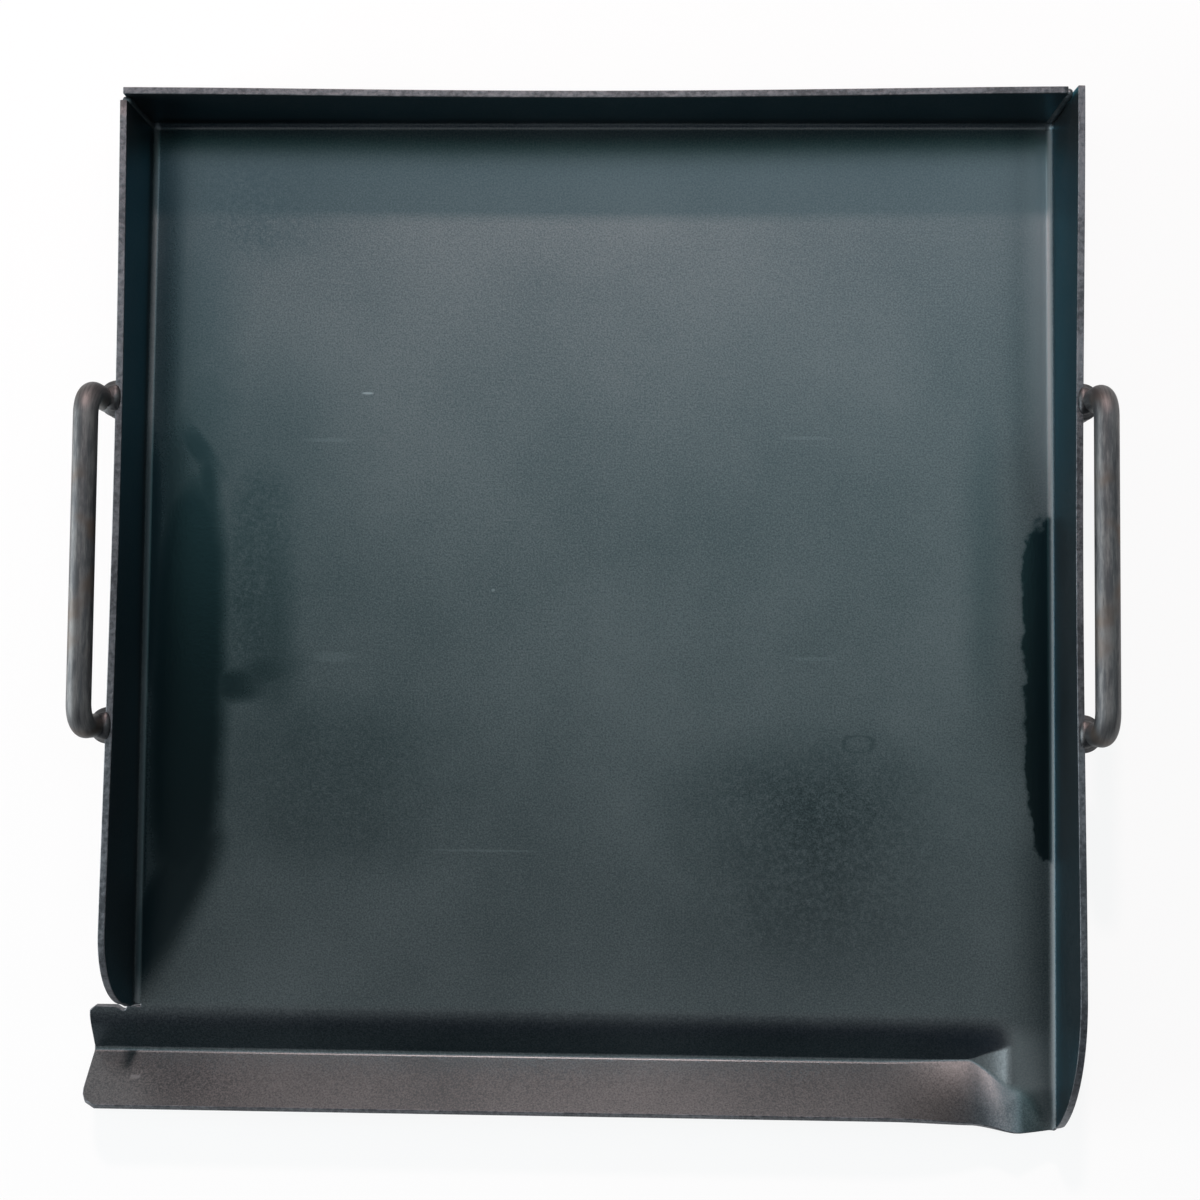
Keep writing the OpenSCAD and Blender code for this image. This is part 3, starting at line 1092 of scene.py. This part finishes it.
    def spout(self, w: Array, forward: Array, up: Array, shares: Array) -> Array:
        """Grid of the spout: the open section run out to the left.

        Args:
            w, forward, up: open section of the trough at the rows.
            shares: shares of the spout's width at the columns.

        Returns:
            Points by rows and columns, with the outline rounded at both corners and hollowed by
            the relief hole.
        """
        trough = self.trough
        rear = np.clip(w - trough.slit_w, 0.0, self.spout_rear_r)
        slope = math.cos(math.radians(trough.lip_slope))
        front = np.clip((trough.length - w) * slope, 0.0, self.spout_front_r)
        inset = self.spout_rear_r - np.sqrt(self.spout_rear_r**2 - (self.spout_rear_r - rear) ** 2)
        round_front = np.sqrt(self.spout_front_r**2 - (self.spout_front_r - front) ** 2)
        inset = np.maximum(inset, self.spout_front_r - round_front)
        width = -self.pan.spout_x - self.edge_r - self.pan.flat_x - inset
        x = -self.pan.flat_x - shares * width[:, None]
        relief_x = -self.pan.outer_x - self.relief_out
        hollow = np.sqrt(np.maximum(self.relief_r**2 - (x - relief_x) ** 2, 0.0))
        fade = clamp01(1 - (w - trough.slit_w) / (self.relief_fade * self.relief_r))[:, None]
        shifted = np.maximum(w[:, None], trough.slit_w) + hollow * fade
        y = -self.pan.flat_y - np.interp(shifted, w, forward)
        return points(x, y, np.interp(shifted, w, up))

    def surface(self) -> GridSurface:
        """Mid-sheet grid of the whole plate and the cells that belong to it."""
        pan, trough = self.pan, self.trough
        x, y = self.floor_columns(), self.floor_rows()
        shares = self.wall_shares()
        back = pan.length_to(np.array(pan.rim_z - self.edge_r)) * shares[::-1]
        w, forward, up = (part[1:] for part in trough.section(x))
        nb, nf, nl, nm = len(back), len(y), len(shares), len(x)
        behind, floor, front = slice(0, nb), slice(nb, nb + nf), slice(nb + nf, None)
        left, middle, right = slice(0, nl), slice(nl, nl + nm), slice(nl + nm, None)
        grid = np.zeros((nb + nf + len(w), 2 * nl + nm, 3))

        grid[floor, middle] = points(x, y[:, None], np.array(pan.sheet_t / 2))
        grid[front, middle] = points(x, -pan.flat_y - forward, up)
        out, height = (part[:, None] for part in pan.wall(back))
        bow = BACK_LEAN.at(x) * pan.upright_share(height)
        grid[behind, middle] = points(x, pan.flat_y + out + bow, height)
        overlap = pan.bend_out - self.back_wall_step
        bow = BACK_LEAN.at(-pan.flat_x) * pan.upright_share(height)
        grid[behind, left] = points(-pan.flat_x - shares[::-1] * overlap, pan.flat_y + out + bow, height)

        out, height = pan.wall(self.wall_lengths(shares[::-1], self.left_top(y)))
        lean = LEANS[Side.LEFT].at(y)[:, None] * pan.upright_share(height)
        grid[floor, left] = points(-pan.flat_x - out - lean, y[:, None], height)
        grid[nb + nf - 1, left, 1] -= self.wall_past
        open_rows = (w[:, 0], forward[:, 0], up[:, 0])
        grid[front, left] = self.spout(*open_rows, self.spout_shares()[::-1])

        wall_y = np.concatenate([y, grid[front, middle][:, -1, 1]])
        tops = self.right_top(wall_y, float(wall_y[-1]))
        out, height = pan.wall(self.wall_lengths(shares, tops))
        lean = LEANS[Side.RIGHT].at(wall_y)[:, None] * pan.upright_share(height)
        grid[nb:, right] = points(pan.flat_x + out + lean, wall_y[:, None], height)
        out, height = pan.wall(back[::-1])
        lean = LEANS[Side.RIGHT].at(pan.flat_y) * pan.upright_share(height)
        back_y = pan.flat_y + shares[::-1] * pan.bend_out
        grid[behind, right] = points(pan.flat_x + out + lean, back_y[:, None], height)

        keep = np.ones((grid.shape[0] - 1, grid.shape[1] - 1), dtype=bool)
        keep[self.upright_steps:nb, :nl] = False
        keep[:nb, nl + nm - 1:nl + nm - 1 + self.bend_steps] = False
        keep[nb + nf - 1:nb + nf - 1 + trough.slit_row, :nl] = False
        return GridSurface(grid, keep)

    def build(self) -> bpy.types.Object:
        """Thicken the mid-sheet grid and round its cut edges."""
        piece = ThickSheet(self.surface(), self.pan.sheet_t, self.edge_r).build("folded_sheet")
        return stand_in(piece, "griddle_plate", Slot.SHEET, BluedSheet(), CutEdge())


@dataclass(frozen=True)
class RodHandle:
    """A handle: a round profile carried along a bent path in the plane of the side wall.

    The path's heading is upwards, turns by a right angle in each of the two bends and ends
    downwards. In the bends the profile is flattened a little, as a bent bar is.

    Attributes:
        side: side of the pan.
        shift_x, shift_y: how far the handle stands out of its true place, mm.
        bend_r: bend radius of the bar's centre line.
        flatten: share by which the bends are flattened.
        chamfer: chamfer of the bar's ends.
        margin: how far the grip stays below the top of the CAD node.
        around: points round the profile.
        counts: steps in the parts of the path, from one end to the other.
    """

    side: Side
    shift_x: float
    shift_y: float
    bend_r: float = 10.0
    flatten: float = 0.035
    chamfer: float = 0.6
    margin: float = 0.01
    around: int = 56
    counts: tuple[int, ...] = (2, 10, 20, 30, 20, 10, 2)

    @property
    def node(self) -> str:
        """CAD node that the piece replaces."""
        return f"{self.side.name.lower()}_handle"

    def build(self) -> bpy.types.Object:
        """Carry the profile along the path that the CAD node's box gives."""
        low, high = (np.array(corner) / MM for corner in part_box(self.node))
        radius = (high[0] - low[0]) / 2
        leg = high[2] - low[2] - radius - self.bend_r - self.margin
        grip = high[1] - low[1] - 2 * radius - 2 * self.bend_r
        bend = self.bend_r * math.pi / 2
        ends = np.array([0.0, self.chamfer, leg, bend, grip, bend, leg, self.chamfer])
        ends[[2, 6]] -= self.chamfer
        knots = np.cumsum(ends)
        s = steps_between(knots, self.counts)
        middle = (s[1:] + s[:-1]) / 2
        turn = ramp(middle, leg + bend / 2, bend / 2)
        turn += ramp(middle, leg + bend + grip + bend / 2, bend / 2)
        up, along = walk(np.diff(s), turn * math.pi / 2)
        heading = np.interp(s, middle, turn)[:, None] * math.pi / 2
        bent = np.sin(2 * heading) ** 2 * self.flatten
        chamfer = np.maximum(self.chamfer - np.minimum(s, knots[-1] - s), 0.0)[:, None]
        angle = np.linspace(0.0, 2 * math.pi, self.around, endpoint=False)
        across = (radius - chamfer) * (1 - bent) * np.cos(angle)
        outward = (radius - chamfer) * (1 + bent / 2) * np.sin(angle)
        x = (low[0] + high[0]) / 2 + self.shift_x + outward
        y = high[1] - radius + self.shift_y - along[:, None] - across * np.cos(heading)
        z = low[2] + up[:, None] - across * np.sin(heading)
        straight = points(radius * np.cos(angle), s[:, None], radius * np.sin(angle))
        surface = GridSurface(points(x, y, z), closed=True, flip=True)
        piece = surface.build(f"{self.side.name.lower()}_bar", straight)
        return stand_in(piece, self.node, Slot.ROD, MillScaleBar())


@dataclass(frozen=True)
class FootWeld:
    """The weld of one handle leg: a half-round bead up the corner of bar and wall, capped on the rim.

    At each height the outline is an oval about the line where the leg meets the wall. Its half
    width swells out of the foot, stays level with ripples, narrows at the rim and closes over it.
    The wall side stays inside the sheet below the rim and reaches over the cut edge above it.

    Attributes:
        side, end: which leg it belongs to.
        pan: sizes of the sheet.
        shift_y: how far the leg stands out of its true place, mm.
        seed: seed of the bead's unevenness.
        width, cap_width: half width of the bead up the leg and at the rim.
        cap_h, cap_over: how far the cap rises above the rim, and reaches over it.
        root: how far the bead goes into the sheet.
        swell: height over which it swells and narrows.
        over_h: height below the rim in which it starts to reach over.
        pitch, ripple, drift: height of a ripple, its depth and how far it drifts.
        sway, sway_rate, sway_phase: depth, rate and largest phase of the slower unevenness.
        chevron: how far each ripple hangs down at its sides.
        least: least half width.
        around, counts: points round the oval, and steps in the parts of its height.
    """

    side: Side
    end: End
    pan: Pan
    shift_y: float
    seed: int
    width: float = 7.6
    cap_width: float = 5.6
    cap_h: float = 2.3
    cap_over: float = 2.4
    root: float = 1.2
    swell: float = 3.0
    pitch: float = 1.7
    ripple: float = 0.03
    drift: float = 0.35
    sway: float = 0.02
    sway_rate: float = 0.9
    sway_phase: float = 6.0
    over_h: float = 1.0
    chevron: float = 0.5
    least: float = 0.05
    around: int = 48
    counts: tuple[int, ...] = (12, 48, 12, 14)

    @property
    def node(self) -> str:
        """CAD node that the piece replaces."""
        return f"{self.side.name.lower()}_{self.end.name.lower()}_foot_weld"

    def build(self) -> bpy.types.Object:
        """Carry the oval up the leg."""
        rim = self.pan.rim_z
        low, high = (np.array(corner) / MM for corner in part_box(self.node))
        draw = np.random.default_rng(self.seed)
        knots = np.array([low[2], low[2] + self.swell, rim - self.swell, rim, rim + self.cap_h])
        z = steps_between(knots, self.counts)
        dome = np.sqrt(clamp01(1 - (np.maximum(z - rim, 0.0) / self.cap_h) ** 2))
        foot = np.sqrt(clamp01(1 - (1 - clamp01((z - low[2]) / self.swell)) ** 2))
        near_rim = smooth((z - rim + self.swell) / self.swell)
        narrow = self.width + (self.cap_width - self.width) * near_rim
        drift = self.drift * np.cumsum(draw.normal(size=z.size)) / z.size
        beat = 2 * math.pi * (z / self.pitch + drift)
        wave = 1 + self.ripple * np.abs(np.sin(beat / 2))
        wave += self.sway * np.sin(z * self.sway_rate + draw.uniform(0, self.sway_phase))
        half = np.maximum(narrow * dome * foot * wave, self.least)[:, None]
        over = smooth((z - rim + self.over_h) / self.over_h)
        depth = self.root + (self.cap_over - self.root) * over
        back = np.maximum(depth * dome * foot, self.least)[:, None]
        angle = np.linspace(0.0, 2 * math.pi, self.around, endpoint=False)
        chevron = self.chevron * np.sin(angle) ** 2
        out = np.where(np.cos(angle) > 0, half, back) * np.cos(angle)
        wide = half * np.sin(angle)
        middle = (low[1] + high[1]) / 2 + self.shift_y
        lean = LEANS[self.side].at(middle) * self.pan.upright_share(z)[:, None]
        x = self.side.value * (self.pan.outer_x + lean + out)
        height = z[:, None] - chevron * foot[:, None] * dome[:, None]
        grid = points(x, middle + wide, height)
        surface = GridSurface(grid, closed=True, flip=self.side is Side.LEFT)
        # The bead gets the weld finish that carries painted shade.
        return stand_in(surface.build(f"{self.node}_bead"), self.node, Slot.WELD, SHADED_FOOT_WELD)


@dataclass(frozen=True)
class CornerWeld:
    """The weld of a back corner, whose CAD shape is right and stays.

    Attributes:
        node: CAD node.
    """

    node: str

    def dress(self) -> bpy.types.Object:
        """Give the CAD node the blued weld finish."""
        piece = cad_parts[self.node]
        piece.data.materials.clear()
        piece.data.materials.append(BLUED_WELD.material())
        return piece


@dataclass(frozen=True)
class PaleFloor(Finish):
    """White floor that shows white to the camera and in reflections, and keeps the shadow."""

    name: str = "pale_floor"
    white: Colour = (0.92, 0.92, 0.92)
    glow: float = 0.88

    def wire(self, graph: Graph) -> None:
        """Seen and mirrored rays get mostly a plain white, other rays the lit white."""
        path = graph.add("ShaderNodeLightPath").outputs
        kinds = ("Is Camera Ray", "Is Glossy Ray", "Is Transmission Ray")
        seen = graph.highest(*[path[kind] for kind in kinds])
        lit = graph.add("ShaderNodeBsdfDiffuse", {"Color": (*self.white, 1.0)}).outputs[0]
        white = graph.add("ShaderNodeEmission", {"Strength": 1.0}).outputs[0]
        share = graph.product(seen, self.glow)
        graph.surface(graph.add("ShaderNodeMixShader", {0: share, 1: lit, 2: white}).outputs[0])


@dataclass(frozen=True)
class PanelLight:
    """A square soft light aimed at the plate.

    Attributes:
        name: name of the light.
        azimuth: direction it stands in, degrees from +Y towards +X.
        elevation: degrees above the floor.
        distance: metres from the origin.
        size: metres on a side.
        power: watts.
        colour: colour of its light.
    """

    name: str
    azimuth: float
    elevation: float
    distance: float
    size: float
    power: float
    colour: Colour

    def build(self) -> None:
        """Place the light and turn it to the origin."""
        data = bpy.data.lights.new(self.name, "AREA")
        data.size, data.energy, data.color = self.size, self.power, self.colour
        lamp = bpy.data.objects.new(self.name, data)
        a, e = math.radians(self.azimuth), math.radians(self.elevation)
        towards = Vector((math.sin(a) * math.cos(e), math.cos(a) * math.cos(e), math.sin(e)))
        lamp.location = towards * self.distance
        lamp.rotation_euler = towards.to_track_quat("Z", "Y").to_euler()
        bpy.context.scene.collection.objects.link(lamp)


@dataclass(frozen=True)
class Studio:
    """Floor, lights, surroundings and the photograph's camera.

    Attributes:
        pan: sizes of the sheet.
        valley_y: where the trough's underside is lowest, mm.
        eye: camera position, mm.
        turn: small rotation of the camera from looking straight down, as axis times radians.
        focal_px: focal length in pixels of a picture picture_px wide.
        picture_px, sensor: width of the picture in pixels and of the sensor, mm.
        clip: nearest and furthest distance that the camera sees, metres.
        floor_half: half width of the floor, metres.
        horizon, horizon_z: colour of the pale band, and the span of z over which it ends.
        sky, sky_gain: colours of the room by direction from front to back, and their strength. A
            least-squares fit to the photograph's colours gave them, and some were then adjusted.
        sky_lean, lean_x: the room's brightness from left to right, and its span of x.
        side_shade, side_x: brightness far out to the sides, and the span of x where it sets in.
        lights: the lamps, whose power and tint started from the same fit.
    """

    pan: Pan
    valley_y: float
    eye: tuple[float, float, float] = (21.5, -49.1, 705.7)
    turn: tuple[float, float, float] = (-0.0472, 0.0274, 0.0089)
    focal_px: float = 1602.0
    picture_px: float = 1200.0
    sensor: float = 36.0
    floor_half: float = 6.0
    horizon: Colour = (0.80, 0.81, 0.82)
    sky_gain: float = 2.3
    sky: tuple[tuple[float, Colour], ...] = (
        (-1.00, (0.01, 0.02, 0.03)),
        (-0.52, (0.01, 0.01, 0.02)),
        (-0.40, (0.24, 0.26, 0.27)),
        (-0.28, (0.40, 0.41, 0.41)),
        (-0.15, (0.02, 0.02, 0.02)),
        (0.00, (0.01, 0.01, 0.01)),
        (0.15, (0.19, 0.44, 0.42)),
        (0.30, (0.76, 0.87, 0.97)),
        (0.40, (0.57, 0.65, 0.76)),
        (0.50, (0.26, 0.24, 0.26)),
        (0.60, (0.12, 0.06, 0.05)),
        (0.85, (0.16, 0.12, 0.10)),
        (0.97, (0.10, 0.11, 0.12)),
    )
    sky_lean: Span = (0.84, 1.20)
    lean_x: Span = (-0.4, 0.4)
    side_shade: float = 0.35
    side_x: Span = (0.45, 0.80)
    horizon_z: Span = (0.16, 0.10)
    clip: Span = (0.01, 50.0)
    lights: tuple[PanelLight, ...] = (
        PanelLight("key", -5.0, 40.0, 2.2, 0.14, 31.0, (1.0, 0.75, 0.71)),
        PanelLight("left_fill", -98.0, 10.0, 2.4, 1.6, 72.0, (0.90, 0.97, 1.0)),
    )

    def floor(self) -> None:
        """A plane that touches the trough and the back of the floor, as the plate would stand."""
        slope = -self.pan.base_z / (self.pan.flat_y - self.valley_y)
        reach = np.array([-self.floor_half, self.floor_half]) / MM
        x, y = np.meshgrid(reach, reach)
        z = self.pan.base_z + (y - self.valley_y) * slope
        ground = GridSurface(points(x, y, z), flip=True).build("floor")
        ground.data.materials.append(PaleFloor().material())

    def surroundings(self) -> None:
        """A room in soft bands from front to back, with a pale band all round the horizon."""
        world = bpy.data.worlds.new("studio")
        world.use_nodes = True
        bpy.context.scene.world = world
        graph = Graph(world.node_tree)
        x, y, z = graph.axes(graph.add("ShaderNodeTexCoord").outputs["Generated"])
        depth = graph.add("ShaderNodeMapRange", {"Value": y, "From Min": -1.0}).outputs[0]
        fade = graph.add("ShaderNodeValToRGB", {0: depth})
        while len(fade.color_ramp.elements) < len(self.sky):
            fade.color_ramp.elements.new(0.5)
        for element, (at, colour) in zip(fade.color_ramp.elements, self.sky):
            element.position = (at + 1) / 2
            element.color = (*colour, 1.0)
        aside = graph.rise(graph.maths("ABSOLUTE", x), self.side_x)
        lean = graph.between(graph.rise(x, self.lean_x), self.sky_lean)
        lean = graph.product(lean, graph.between(aside, (1.0, self.side_shade)))
        inputs = {0: fade.outputs[0], "Scale": lean}
        room = graph.add("ShaderNodeVectorMath", inputs, operation="SCALE").outputs[0]
        low = graph.rise(z, self.horizon_z)
        pale = tuple(level / self.sky_gain for level in self.horizon)
        inputs = {"Color": graph.mix(low, room, pale), "Strength": self.sky_gain}
        graph.surface(graph.add("ShaderNodeBackground", inputs).outputs[0], "ShaderNodeOutputWorld")

    def camera(self) -> None:
        """The camera of the photograph, fitted to its rims, bends and trough lines."""
        turn = Vector(self.turn)
        down = Matrix.Rotation(turn.length, 3, turn) @ Matrix.Diagonal((1.0, -1.0, -1.0))
        right, below, ahead = down
        data = bpy.data.cameras.new("camera")
        data.sensor_width = self.sensor
        data.lens = self.focal_px * self.sensor / self.picture_px
        data.clip_start, data.clip_end = self.clip
        camera = bpy.data.objects.new("camera", data)
        axes = Matrix((right, -below, -ahead)).transposed().to_4x4()
        camera.matrix_world = Matrix.Translation(Vector(self.eye) * MM) @ axes
        bpy.context.scene.collection.objects.link(camera)
        bpy.context.scene.camera = camera

    def build(self) -> None:
        """Set up the whole stage and a plain view of it."""
        self.floor()
        self.surroundings()
        for light in self.lights:
            light.build()
        self.camera()
        bpy.context.scene.view_settings.view_transform = "Standard"


def main() -> None:
    """Build the pieces in order, then the stage."""
    logging.basicConfig(level=logging.INFO, format="%(name)s: %(message)s")
    pan = Pan.from_frame()
    trough = Trough(pan)
    made = [SheetPlate(pan, trough).build()]
    handles = (RodHandle(Side.LEFT, 0.0, 0.0), RodHandle(Side.RIGHT, -0.9, 0.6))
    made += [handle.build() for handle in handles]
    feet = [(handle, end) for handle in handles for end in End]
    made += [
        FootWeld(handle.side, end, pan, handle.shift_y, seed).build()
        for seed, (handle, end) in enumerate(feet)
    ]
    made += [CornerWeld(f"back_{side.name.lower()}_corner_weld").dress() for side in Side]
    for piece in made:
        finish = piece.data.materials[0].name
        LOG.info("%s: %d points, %s", piece.name, len(piece.data.vertices), finish)
    _, forward, up = trough.section(np.array([0.0]))
    Studio(pan, -pan.flat_y - float(forward[up.argmin(), 0])).build()


if __name__ == "__main__":
    main()
